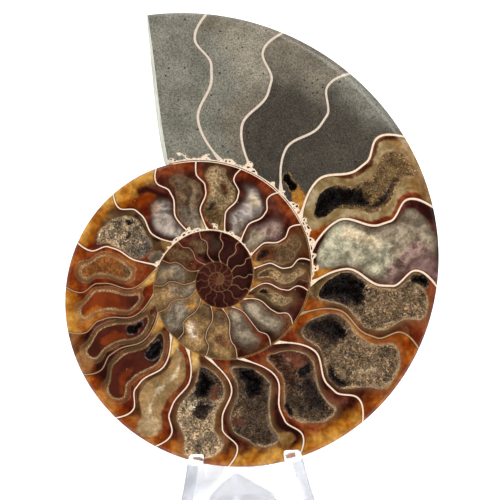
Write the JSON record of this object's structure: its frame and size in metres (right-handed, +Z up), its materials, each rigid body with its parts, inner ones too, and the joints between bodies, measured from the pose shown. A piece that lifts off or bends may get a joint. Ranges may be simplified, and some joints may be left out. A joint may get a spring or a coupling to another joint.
{
  "type": "ammonite fossil half on a clear stand",
  "caption": "Sawn and polished ammonite fossil half with crystal-lined chambers, leaning back in a clear moulded display stand.",
  "frame": {"origin": "middle of the footprint, on the surface that the stand rests on", "axes": "+Z up, the polished face looks towards -Y and leans back 18 degrees, +X to the viewer's right"},
  "size_m": [0.1248, 0.0786, 0.161],
  "materials": {
    "fossil": "polished face, satin back",
    "crystal": "sparkling crystal faces",
    "clear_stand": "clear, glossy"
  },
  "bodies": {
    "root": {"ammonite_half": "fossil", "crystal_crust_1": "crystal", "crystal_crust_2": "crystal", "crystal_crust_3": "crystal", "crystal_crust_4": "crystal", "crystal_crust_5": "crystal", "crystal_crust_6": "crystal", "crystal_crust_7": "crystal", "crystal_crust_8": "crystal", "crystal_crust_9": "crystal", "display_stand": "clear_stand"}
  },
  "joints": []
}
